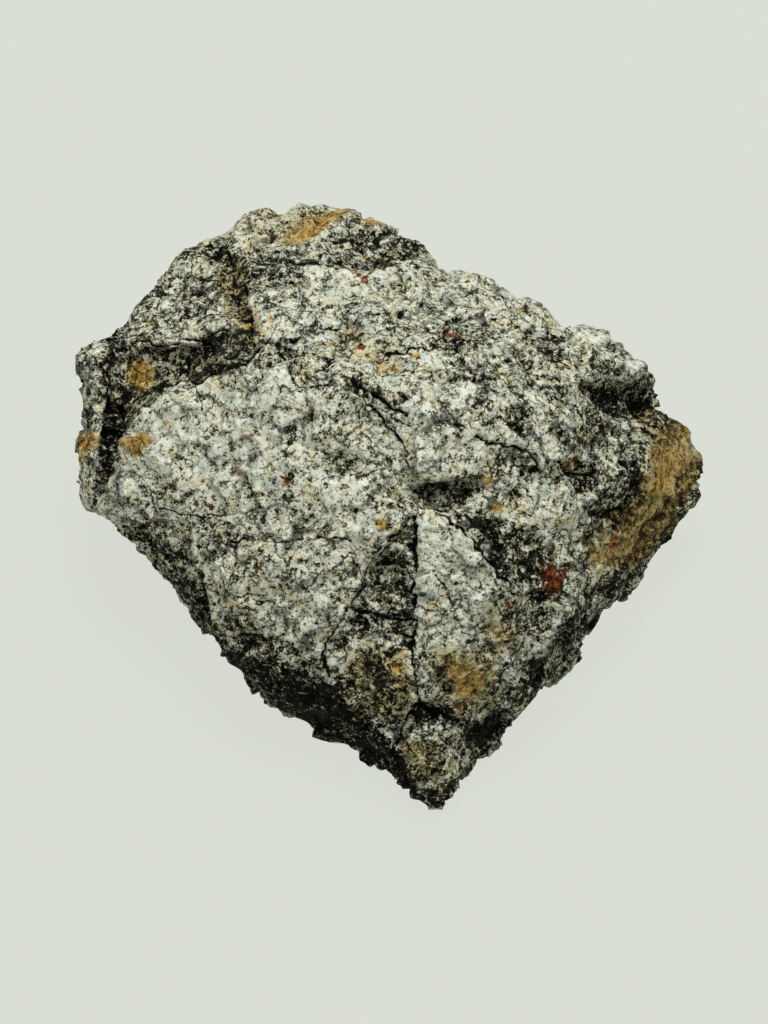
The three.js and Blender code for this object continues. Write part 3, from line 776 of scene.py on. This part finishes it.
OLIVE_PATCHES = {
    "cleft": (0.25, SHADE_AND_DARK_PATCHES["cleft"][2]),
    "valley": (0.7, [(-10.8, 16.9), (-9.6, 17.1), (-8.1, 12.1), (-8.9, 10.8), (-11.3, 15.1)]),
    "back": (0.4, [(-9.6, 19.1), (-6.3, 19.8), (-3.6, 20.1), (-5.6, 17.8), (-8.9, 17.7)]),
    "saddle": (0.45, [(-3.6, 12.1), (1.1, 11.8), (1.1, 9.8), (-2.9, 10.1)]),
    "flank_top": (0.6, SHADE_AND_DARK_PATCHES["flank_top"][2]),
    "flank": (
        0.8,
        [(13.6, -1.9), (15.1, -0.7), (17.2, 2.1), (18.1, 5.3), (21.5, 3.5), (17.7, -3.2), (14.1, -4.0)],
    ),
    "front": (0.6, [(3.1, -8.5), (7.1, -9.2), (8.1, -11.9), (6.4, -13.5), (3.7, -13.3)]),
    "front_right": (0.5, [(6.4, -5.9), (9.1, -5.9), (9.4, -9.2), (7.1, -9.9)]),
    "wedge_foot": (0.7, [(-2.6, -9.5), (1.1, -9.2), (1.9, -11.2), (1.4, -13.9), (-1.9, -13.5)]),
    "tip": (0.8, [(1.2, -15.3), (3.7, -15.3), (4.4, -17.5), (1.6, -18.2)]),
}
# The pale patches are painted light: these places are painted paler, as if more light fell on them.
LIGHT_PAINTED_PATCHES = {
    "lip": (1.8, [(-17.2, 5.6), (-13.9, 7.4), (-13.3, 3.4), (-16.9, 1.6)]),
    "main_left": (
        1.0,
        [(-16.6, 6.9), (-9.6, 9.8), (-5.6, 9.0), (-4.6, 4.0), (-8.9, 1.4), (-16.6, 2.0)],
    ),
    "block": (1.2, [(3.1, 7.5), (6.4, 4.8), (5.7, 2.8), (3.1, 2.8), (1.1, 4.8)]),
    "below_the_ledge": (0.3, [(8.0, 3.0), (10.2, 2.2), (11.4, 0.9), (10.4, -0.2), (8.4, 0.8)]),
    "beside_the_wedge": (0.3, [(-4.5, -1.5), (-0.5, -2.2), (-1.4, -4.2), (-3.5, -6.6), (-5.5, -4.5)]),
    "saddle": (0.6, [(-7.0, 12.5), (-1.0, 14.5), (3.0, 13.5), (1.0, 12.3), (-4.0, 10.5)]),
    "block_top": (1.5, [(12.1, 12.4), (13.7, 12.0), (16.7, 9.3), (15.1, 9.7), (13.4, 10.8)]),
    "front": (1.2, [(2.3, -0.4), (5.1, -2.0), (7.4, -5.4), (5.4, -8.6), (2.1, -9.2)]),
}
print("patches:", len(RUST_PATCHES), "rust,", len(OLIVE_PATCHES), "olive,", len(LIGHT_PAINTED_PATCHES), "pale")

# %% Where the spots are
# Each spot: radius, strength, and its places.
RUST_SPOTS = [
    (0.35, 0.7, [(-18.5, 2.9)]),
    (0.45, 0.6, [(5.1, -13.0)]),
    (0.7, 0.6, [(14.1, -2.9)]),
    (0.4, 0.8, [(6.9, 2.2)]),
    (0.45, 0.7, [(7.5, 0.4)]),
    (0.4, 0.6, [(12.3, 3.0), (13.0, 3.4)]),
]
OCHRE_SPOTS = [
    (0.85, 0.95, [(-16.3, 9.1)]),
    (0.35, 0.7, [(-14.5, 5.9)]),
    (0.4, 0.6, [(-9.3, 12.5)]),
    (0.45, 0.6, [(-7.6, 12.8)]),
    (0.35, 0.6, [(-10.8, 13.8)]),
    (0.5, 0.6, [(-3.3, 11.2)]),
    (0.55, 0.6, [(-0.4, 10.0), (0.3, 9.7)]),
    (0.4, 0.5, [(2.1, 10.5)]),
    (0.5, 0.7, [(-0.2, -0.8)]),
    (0.5, 0.8, [(0.8, -10.4)]),
    (0.5, 0.5, [(9.1, 13.5)]),
]
RUSSET_SPOTS = [
    (0.4, 0.9, [(-6.6, 2.1)]),
    (0.3, 0.9, [(-12.4, 0.6)]),
    (0.26, 0.9, [(-11.6, 0.5)]),
    (0.45, 0.7, [(-2.2, 11.8)]),
    (0.35, 0.8, [(-1.5, 11.1)]),
    (0.35, 0.7, [(0.1, 11.3)]),
    (0.4, 0.7, [(-2.3, 16.1), (-1.2, 15.8)]),
    (0.6, 0.6, [(4.5, 11.8)]),
    (0.3, 0.8, [(0.5, 0.3)]),
    (0.3, 0.8, [(8.5, 1.4)]),
    (0.85, 1.0, [(11.2, -4.2), (11.6, -4.9)]),
    (0.5, 0.7, [(12.1, -3.7), (11.7, -4.4)]),
    (0.8, 0.6, [(15.6, -2.2)]),
    (0.3, 0.7, [(8.2, -6.1)]),
    (0.5, 0.7, [(-20.2, 4.6)]),
]
SPOT_WANDER = 0.2
SPOT_FADE = 1.5


def spotted(spots):
    """How strongly each point is stained by spots, 0 to 1, fading towards their edge."""
    mask = np.zeros(len(even_points))
    for radius, strength, places in spots:
        gap = gap_to(laid(places, SPOT_WANDER), even_points, radius * SPOT_FADE)
        mask = np.maximum(mask, strength * np.clip(SPOT_FADE - gap / radius, 0, 1))
    return mask


print("spots:", len(RUST_SPOTS), "rust,", len(OCHRE_SPOTS), "ochre,", len(RUSSET_SPOTS), "red-brown")

# %% [markdown]
# ## The sides that the picture doesn't show
# The hidden sides are broken stone too, with dark and rusty places of their own. Nothing says where
# they are, so broad noise spreads them, only where the skin turns away from the eye.

# %% Stains on the hidden sides
HIDDEN_DARK = {"size": 5.5, "octaves": 3, "mean": 0.35, "swing": 1.3, "most": 0.85}
HIDDEN_RUST = {"size": 6.5, "octaves": 4, "mean": -0.05, "swing": 1.2, "most": 0.6}


def spread(stain, use):
    """A stain in broad patches over the sides that the eye doesn't meet."""
    waves = layered(even_points, stain["size"], stain["octaves"], use)
    return turned_away * np.clip(stain["mean"] + stain["swing"] * waves, 0, stain["most"])


hidden_dark = spread(HIDDEN_DARK, "hidden_dark")
hidden_rust = spread(HIDDEN_RUST, "hidden_rust")
print("hidden stone: dark", round(hidden_dark.mean(), 3), "rust", round(hidden_rust.mean(), 3))

# %% [markdown]
# ## Marks that the finish can read
# Nodes can't see Python's arrays. Stored as attributes on the points, the marks travel with the mesh
# and nodes read them by name. Painted pictures would need a flat map of the stone, with seams.

# %% Store the marks on the points
SEAM_WIDTH = 0.3
marks = {
    "crack": crack_mask,
    # hollow and cleft: how hollow a place is, which the finish turns into painted shade
    "hollow": fine_hollow,
    "cleft": broad_hollow,
    "seam": np.clip(1 - seam_gap / SEAM_WIDTH, 0, 1),
    # dark: painted shade for the most part, darker stone in part
    "dark": np.maximum(painted_shade_and_dark, hidden_dark),
    # pale: painted light
    "pale": patched(LIGHT_PAINTED_PATCHES),
    "olive": np.maximum(patched(OLIVE_PATCHES), hidden_rust),
    "rust": np.maximum.reduce([patched(RUST_PATCHES), spotted(RUST_SPOTS), hidden_rust]),
    "ochre": spotted(OCHRE_SPOTS),
    "russet": spotted(RUSSET_SPOTS),
}
for name, values in marks.items():
    attribute = stone.data.attributes.new(name, "FLOAT", "POINT")
    attribute.data.foreach_set("value", values)
    print(name, "is", round(values.mean(), 3), "on average")

# %% [markdown]
# ## A small language for nodes
# Materials are made of nodes, and even a sum like "grain times three, less the cracks" takes several
# of them to click together. The class below wraps a node's socket so that Python's own operators
# add the Math nodes, and one method makes every other kind of node.

# %% Sockets that can be added and multiplied
class Wire:
    """One socket of a finish; sums and products with it become Math nodes."""

    def __init__(self, finish, socket):
        self.finish = finish
        self.socket = socket

    def worked(self, operation, first, second):
        """A Math node on two values, of which at least one is a socket."""
        return self.finish.node("ShaderNodeMath", {"operation": operation}, {0: first, 1: second})

    def __add__(self, other):
        return self.worked("ADD", self, other)

    def __radd__(self, other):
        return self.worked("ADD", other, self)

    def __sub__(self, other):
        return self.worked("SUBTRACT", self, other)

    def __rsub__(self, other):
        return self.worked("SUBTRACT", other, self)

    def __mul__(self, other):
        return self.worked("MULTIPLY", self, other)

    def __rmul__(self, other):
        return self.worked("MULTIPLY", other, self)


class Finish:
    """One material, and the one way to add a node to it."""

    def __init__(self, name):
        self.material = bpy.data.materials.new(name)
        self.material.use_nodes = True
        self.tree = self.material.node_tree
        self.tree.nodes.clear()

    def node(self, kind, settings=None, sockets=None, out=0):
        """A new node: its settings first, then the values or links of its sockets."""
        made = self.tree.nodes.new(kind)
        for name, value in (settings or {}).items():
            if name == "stops":
                set_stops(made.color_ramp, value)
            else:
                setattr(made, name, value)
        for name, value in (sockets or {}).items():
            if isinstance(value, Wire):
                self.tree.links.new(value.socket, made.inputs[name])
            else:
                made.inputs[name].default_value = value
        return Wire(self, made.outputs[out]) if len(made.outputs) else None


def set_stops(ramp, stops):
    """Gives a colour ramp its stops: a place from 0 to 1 and a colour each."""
    while len(ramp.elements) > 1:
        ramp.elements.remove(ramp.elements[-1])
    for place, colour in stops:
        stop = ramp.elements.new(place)
        stop.color = colour
    ramp.elements.remove(ramp.elements[0])


# %% Colours as the eye reads them
BRIGHTEST = 255
SCREEN_CURVE = {"toe": 0.04045, "slope": 12.92, "lift": 0.055, "power": 2.4}


def screen(red, green, blue):
    """A colour given as a screen shows it, 0 to 255, turned into light for the shader."""
    light = []
    for share in (red / BRIGHTEST, green / BRIGHTEST, blue / BRIGHTEST):
        if share <= SCREEN_CURVE["toe"]:
            light.append(share / SCREEN_CURVE["slope"])
        else:
            lifted = (share + SCREEN_CURVE["lift"]) / (1 + SCREEN_CURVE["lift"])
            light.append(lifted ** SCREEN_CURVE["power"])
    return (*light, 1.0)


print("a grey of 128 is light of", round(screen(128, 128, 128)[0], 3))

# %% Marks, noises and cells of the stone's finish
# Each noise: the size of its lumps in millimetres, its finer octaves, and how strong those are.
NOISES = {
    "packing": (0.38, 5, 0.72),
    "fine": (0.14, 2, 0.6),
    "clouds": (2.6, 3, 0.6),
    "drift": (1.0, 2, 0.5),
    "fray": (0.4, 4, 0.7),
    "bend": (0.5, 2, 0.6),
    "crook": (1.5, 3, 0.65),
    "warm": (1.5, 3, 0.65),
    "cool": (1.4, 2, 0.5),
    "rust": (0.8, 3, 0.55),
    "orange": (1.8, 3, 0.6),
    "knots": (0.5, 3, 0.65),
    "stray": (1.9, 2, 0.5),
    "coarse_hairs": (4.0, 2, 0.5),
    "fine_hairs": (2.4, 2, 0.5),
}
skin = Finish("weathered_chondrite")


def mask_of(name):
    """One of the marks stored on the stone's points."""
    settings = {"attribute_name": name, "attribute_type": "GEOMETRY"}
    return skin.node("ShaderNodeAttribute", settings, out="Fac")


def speckle(place, name, out="Fac"):
    """One of the noises, from 0 to 1, or as a colour."""
    size, detail, roughness = NOISES[name]
    sockets = {"Vector": place, "Scale": 1 / size, "Detail": detail, "Roughness": roughness}
    return skin.node("ShaderNodeTexNoise", {"noise_dimensions": "3D"}, sockets, out)


def cells(place, size, feature, out):
    """One output of a net of cells of a size in millimetres."""
    settings = {"voronoi_dimensions": "3D", "feature": feature}
    return skin.node("ShaderNodeTexVoronoi", settings, {"Vector": place, "Scale": 1 / size}, out)


def crystals(place, size, channel):
    """One random number for each cell, from one channel of its colour."""
    colour = cells(place, size, "F1", "Color")
    return skin.node("ShaderNodeSeparateColor", {}, {"Color": colour}, channel)


def web(place, size):
    """How far each place is from the border of its cell."""
    return cells(place, size, "DISTANCE_TO_EDGE", "Distance")


# %% Bands, ramps and blends
NOISE_MIDDLE = 0.5
# The Mix node has sockets of the same name for numbers, vectors and colours; these are the colours'.
MIX_SHARE, MIX_UNDER, MIX_OVER, MIX_RESULT = 0, 6, 7, 2


def swing(value, by):
    """A noise about its middle, made so strong."""
    return by * (value - NOISE_MIDDLE)


def step(value, band):
    """0 before a band, 1 after it, smooth between; turned round when the band runs downwards."""
    settings = {"interpolation_type": "SMOOTHSTEP"}
    sockets = {"Value": value, "From Min": min(band), "From Max": max(band)}
    rise = skin.node("ShaderNodeMapRange", settings, sockets)
    return rise if band[0] < band[1] else 1 - rise


def ramp(value, shades):
    """A value turned into a colour by shades: a place from 0 to 1 and a screen colour each."""
    stops = [(place, screen(*colour)) for place, colour in shades]
    return skin.node("ShaderNodeValToRGB", {"stops": stops}, {"Fac": value})


def blend(share, under, over, how="MIX"):
    """One colour laid over another by a share from 0 to 1."""
    settings = {"data_type": "RGBA", "blend_type": how, "clamp_factor": True}
    sockets = {MIX_SHARE: share, MIX_UNDER: under, MIX_OVER: over}
    return skin.node("ShaderNodeMix", settings, sockets, MIX_RESULT)


def scaled(vector, by):
    """A vector made longer or shorter."""
    return skin.node("ShaderNodeVectorMath", {"operation": "SCALE"}, {0: vector, "Scale": by})


def moved(vector, by):
    """One vector added to another."""
    return skin.node("ShaderNodeVectorMath", {"operation": "ADD"}, {0: vector, 1: by})


# %% [markdown]
# ## The stone's grain
# Close up, the stone is a packing of pale grains a few tenths of a millimetre across, with black
# specks and worm-like gaps between them. A noise with many octaves gives the packing, and a ramp
# with a steep dark end turns its lows into black gaps. Crystals with one shade each come from a
# Voronoi texture whose cells are bent by another noise. A dark or hollow place, which is painted
# shade for the most part, isn't painted over: it pulls the same grain down the ramp, so its gaps
# widen and its grains still show. All of it is laid in the stone's own space, in millimetres, and
# runs over its edges as real grain does.

# %% The tone of the grain
BENT_BY = 0.2
CROOKED_BY = 1.6
GRAIN_SIZE = 0.36
FACET_SIZE = 1.1
MIDDLE_TONE = 0.512
TONE_SWINGS = {
    "packing": 0.56, "fine": 0.36, "crystal": 0.1, "facet": 0.05, "clouds": 0.14, "drift": 0.1,
}

in_mm = scaled(skin.node("ShaderNodeTexCoord", out="Object"), 1 / MM)
bent = moved(in_mm, scaled(speckle(in_mm, "bend", "Color"), BENT_BY))
crooked = moved(bent, scaled(speckle(in_mm, "crook", "Color"), CROOKED_BY))
fray = speckle(in_mm, "fray")
layers = {name: speckle(in_mm, name) for name in ("packing", "fine", "clouds", "drift")}
layers["crystal"] = crystals(bent, GRAIN_SIZE, "Red")
layers["facet"] = crystals(bent, FACET_SIZE, "Red")
tone = MIDDLE_TONE
for name, by in TONE_SWINGS.items():
    tone = tone + swing(layers[name], by)
print("tone of the grain:", len(layers), "layers,", len(skin.tree.nodes), "nodes")

# %% Shade, and the greys of the grain
PATCH_SHADE_AND_DARK = 0.085
HOLLOW_PAINTED_SHADE = 0.03
CLEFT_PAINTED_SHADE = 0.035
PAINTED_LIGHT = 0.02
BITE = 1.3
GREYS = [
    (0.355, (2, 2, 1)),
    (0.404, (17, 16, 8)),
    (0.430, (73, 73, 56)),
    (0.453, (116, 117, 98)),
    (0.478, (155, 156, 137)),
    (0.506, (184, 186, 167)),
    (0.536, (202, 205, 187)),
    (0.576, (213, 217, 202)),
    (0.640, (228, 232, 220)),
]
# Painted shade: the dark patches, the hollows and the clefts pull the tone down. Painted light: the pale
# patches lift it.
shade = PATCH_SHADE_AND_DARK * mask_of("dark") * (1 + swing(fray, BITE))
shade = shade + HOLLOW_PAINTED_SHADE * mask_of("hollow") + CLEFT_PAINTED_SHADE * mask_of("cleft")
lit_tone = tone + PAINTED_LIGHT * mask_of("pale") - shade
grain_colour = ramp(lit_tone, GREYS)
print("greys of the grain:", len(GREYS))

# %% Tints of single grains, and warm and cool clouds
GRAIN_TINTS = [(0.1, (255, 240, 216)), (0.5, (255, 255, 255)), (0.9, (236, 243, 245))]
GRAIN_TINT_SHARE = 0.5
WARM = screen(250, 232, 192)
WARM_BAND = (0.5, 0.68)
COOL = screen(200, 208, 212)
COOL_BAND = (0.54, 0.68)
CLOUD_SHARE = 0.6
grain_tint = ramp(crystals(bent, GRAIN_SIZE, "Green"), GRAIN_TINTS)
warm = step(speckle(in_mm, "warm"), WARM_BAND)
cool = step(speckle(bent, "cool"), COOL_BAND)
tinted = blend(GRAIN_TINT_SHARE, grain_colour, grain_tint, "MULTIPLY")
tinted = blend(CLOUD_SHARE * warm, tinted, WARM, "MULTIPLY")
tinted = blend(CLOUD_SHARE * cool, tinted, COOL, "MULTIPLY")
print("grain with its tints:", len(skin.tree.nodes), "nodes")

# %% [markdown]
# ## Rust
# Iron stains the grains round it. Where the stain is thin, the grey grains only turn olive, which is
# the same grain seen through a colour. Where it is thick, whole grains are orange, ochre or
# red-brown. Noise is added to a stain's mark before it is cut off, so it ends grain by grain.

# %% Rust in brown and orange
RUST_FRAY = 1.5
RUST_BAND = (0.22, 0.55)
RUST_TONE = {"of_lit_tone": 0.85, "lift": 0.073, "patches": 0.12, "grains": 0.08}
BROWNS = [
    (0.37, (36, 30, 15)),
    (0.43, (80, 67, 36)),
    (0.468, (116, 99, 55)),
    (0.51, (146, 128, 77)),
    (0.56, (178, 160, 108)),
]
ORANGES = [
    (0.37, (48, 30, 9)),
    (0.43, (104, 71, 20)),
    (0.468, (142, 100, 34)),
    (0.51, (168, 124, 46)),
    (0.56, (194, 154, 74)),
]
ORANGE_FRAY = 1.3
ORANGE_PATCHES = 1.2
ORANGE_BAND = (0.45, 1.1)
rust = mask_of("rust")
grain_kind = crystals(bent, GRAIN_SIZE, "Blue")
rusted = step(rust + swing(fray, RUST_FRAY), RUST_BAND)
rust_tone = RUST_TONE["of_lit_tone"] * lit_tone + RUST_TONE["lift"]
rust_tone = rust_tone + swing(speckle(in_mm, "rust"), RUST_TONE["patches"])
rust_tone = rust_tone + swing(grain_kind, RUST_TONE["grains"])
brown = ramp(rust_tone, BROWNS)
orange = ramp(rust_tone, ORANGES)
orange_patches = swing(speckle(in_mm, "orange"), ORANGE_PATCHES)
orange_grains = step(rust + swing(fray, ORANGE_FRAY) + orange_patches, ORANGE_BAND)
print("rust:", len(BROWNS), "browns and", len(ORANGES), "oranges")

# %% Ochre and red-brown grains
OCHRE_FRAY = 2.4
OCHRE_BAND = (0.42, 0.65)
OCHRE_SHADE = 0.5
OCHRES = [(0.38, (66, 48, 14)), (0.56, (208, 172, 88))]
RUSSET_FRAY = 2.6
RUSSET_BAND = (0.45, 0.65)
RUSSET_DROP = 0.01
RUSSETS = [(0.41, (18, 8, 3)), (0.48, (74, 34, 13)), (0.56, (122, 66, 30))]
SPOT_GRAINS = 0.1
STRAY_BAND = (0.67, 0.71)
STRAY_PLACES = (0.5, 0.6)
spot_grains = swing(grain_kind, SPOT_GRAINS)
ochre_grains = step(mask_of("ochre") + swing(fray, OCHRE_FRAY), OCHRE_BAND)
ochre = ramp(tone + OCHRE_SHADE * (lit_tone - tone) + spot_grains, OCHRES)
russet_grains = step(mask_of("russet") + swing(fray, RUSSET_FRAY), RUSSET_BAND)
russet = ramp(tone - RUSSET_DROP + spot_grains, RUSSETS)
knots = speckle(bent, "knots")
stray_grains = step(knots, STRAY_BAND) * step(speckle(in_mm, "stray"), STRAY_PLACES)
print("spots:", len(OCHRES), "ochres and", len(RUSSETS), "red-browns")

# %% Lay the stains over the grain
OLIVE = screen(208, 190, 128)
COVER = 0.9
ORANGE_COVER = 0.8
stained = blend(COVER * mask_of("olive"), tinted, OLIVE, "MULTIPLY")
stained = blend(COVER * rusted, stained, brown)
stained = blend(ORANGE_COVER * orange_grains, stained, orange)
stained = blend(COVER * ochre_grains, stained, ochre)
stained = blend(russet_grains, stained, russet)
stained = blend(COVER * stray_grains, stained, russet)
print("grain with its stains:", len(skin.tree.nodes), "nodes")

# %% [markdown]
# ## Black specks and cracks
# Over everything lie black knots of metal, the seams between chips, hair cracks too thin for the
# mesh, and the bottoms of the cracks that are cut in it. The hair cracks are the borders of bent
# Voronoi cells, shown only in some places, since a whole net of them would look like dried mud.

# %% Hair cracks, knots, seams and cracks
# Each net of hair cracks: the size of its cells, the band that its lines fill, and where it shows.
HAIR_NETS = {
    "coarse_hairs": (3.4, (0.022, 0.008), (0.48, 0.58)),
    "fine_hairs": (1.6, (0.042, 0.014), (0.56, 0.66)),
}
KNOT_BAND = (0.34, 0.30)
SEAM_FRAY = 2.4
SEAM_BAND = (0.6, 0.8)
CRACK_FRAY = 2.2
CRACK_GRAINS = 1.6
CRACK_BAND = (0.4, 0.65)
CRACK_EDGE = (0.02, 0.2)
hairs = 0
for name, (size, line, places) in HAIR_NETS.items():
    hairs = hairs + step(web(crooked, size), line) * step(speckle(in_mm, name), places)
black_knots = step(knots, KNOT_BAND)
seams = step(mask_of("seam") + swing(fray, SEAM_FRAY), SEAM_BAND)
crack = mask_of("crack")
crumbled = crack + swing(fray, CRACK_FRAY) + swing(layers["fine"], CRACK_GRAINS)
cracks = step(crumbled, CRACK_BAND) * step(crack, CRACK_EDGE)
print("nets of hair cracks:", len(HAIR_NETS))

# %% Lay the black over the stains
RUST_HIDES = 0.5
SEAM_SHARE = 0.65
SEAM_BLACK = screen(34, 33, 28)
KNOT_SHARE = 0.95
KNOT_BLACK = screen(22, 21, 17)
HAIR_SHARE = 0.9
HAIR_BLACK = screen(20, 18, 14)
CRACK_BLACK = screen(7, 6, 5)
clear = 1 - RUST_HIDES * rusted
blackened = blend(SEAM_SHARE * seams * clear, stained, SEAM_BLACK)
blackened = blend(KNOT_SHARE * black_knots * clear, blackened, KNOT_BLACK)
blackened = blend(HAIR_SHARE * hairs * clear, blackened, HAIR_BLACK)
blackened = blend(cracks, blackened, CRACK_BLACK)
print("grain, stains and black:", len(skin.tree.nodes), "nodes")

# %% [markdown]
# ## Relief and gloss
# The mesh holds what is larger than a few tenths of a millimetre. The gaps between the grains are
# finer, so they are bump, from the same noises that colour them; geometry for them would make the
# mesh many times heavier. Broken stone is dull. Only a few crystals glint, and rust is dullest.

# %% Relief, gloss and the whole finish
PACKING_HEIGHT = 0.6
FINE_HEIGHT = 0.4
RELIEF_STRENGTH = 0.7
RELIEF_DEPTH = 0.2 * MM
DULLNESS = 0.86
GLINT = 0.3
GLINT_BAND = (0.8, 0.95)
RUST_DULLNESS = 0.08
SPECULAR = 0.08
height = PACKING_HEIGHT * layers["packing"] + FINE_HEIGHT * layers["fine"]
relief = skin.node(
    "ShaderNodeBump", {}, {"Strength": RELIEF_STRENGTH, "Distance": RELIEF_DEPTH, "Height": height}
)
glinting = step(layers["crystal"], GLINT_BAND)
surface = skin.node(
    "ShaderNodeBsdfPrincipled",
    {},
    {
        "Base Color": blackened,
        "Roughness": DULLNESS - GLINT * glinting + RUST_DULLNESS * orange_grains,
        "Normal": relief,
        "Specular IOR Level": SPECULAR,
    },
)
skin.node("ShaderNodeOutputMaterial", {}, {"Surface": surface})
stone.data.materials.append(skin.material)
print("stone finish:", len(skin.tree.nodes), "nodes")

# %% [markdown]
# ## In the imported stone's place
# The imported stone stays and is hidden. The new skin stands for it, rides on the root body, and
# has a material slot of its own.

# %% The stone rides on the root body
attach(stone, "root")
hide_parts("stone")
print(stone.name, "stands for the packed stone")

# %% [markdown]
# ## Floor and light
# The stone lies on a pale plain sheet with hardly a shadow. A soft light from above and behind gives
# the lit tops and the dark lower walls, which painted shade on the stone darkens further, and an
# even pale sky fills the rest. The sheet is dark itself and glows evenly, which keeps its tone plain
# and its shadow faint from every side.

# %% Floor
FLOOR_SIDE = 6.0
SHEET = {
    "Base Color": screen(36, 38, 35),
    "Roughness": 0.9,
    "Emission Color": screen(214, 218, 208),
    "Emission Strength": 0.98,
}
floor_mesh = bpy.data.meshes.new("floor")
half = FLOOR_SIDE / 2
floor_mesh.from_pydata(
    [(-half, -half, 0), (half, -half, 0), (half, half, 0), (-half, half, 0)], [], [(0, 1, 2, 3)]
)
floor = bpy.data.objects.new("floor", floor_mesh)
scene.collection.objects.link(floor)
sheet = Finish("pale_sheet")
sheet_surface = sheet.node("ShaderNodeBsdfPrincipled", {}, SHEET)
sheet.node("ShaderNodeOutputMaterial", {}, {"Surface": sheet_surface})
floor_mesh.materials.append(sheet.material)
print("floor:", FLOOR_SIDE, "m square")

# %% Light
KEY_HEIGHT = math.radians(79)
KEY_FROM_RIGHT = math.radians(15)
KEY_SOFTNESS = math.radians(32)
KEY_STRENGTH = 2.9
ROOM = screen(236, 238, 232)
FILL_STRENGTH = 0.4
key = bpy.data.objects.new("key", bpy.data.lights.new("key", "SUN"))
key.data.energy = KEY_STRENGTH
key.data.angle = KEY_SOFTNESS
key_from = Vector(
    (
        math.sin(KEY_FROM_RIGHT) * math.cos(KEY_HEIGHT),
        math.cos(KEY_FROM_RIGHT) * math.cos(KEY_HEIGHT),
        math.sin(KEY_HEIGHT),
    )
)
key.rotation_euler = (-key_from).to_track_quat("-Z", "Y").to_euler()
scene.collection.objects.link(key)

world = bpy.data.worlds.new("pale_room")
world.use_nodes = True
background = world.node_tree.nodes["Background"]
background.inputs["Color"].default_value = ROOM
background.inputs["Strength"].default_value = FILL_STRENGTH
scene.world = world
scene.view_settings.view_transform = "Standard"
print("light from", [round(c, 2) for c in key_from])
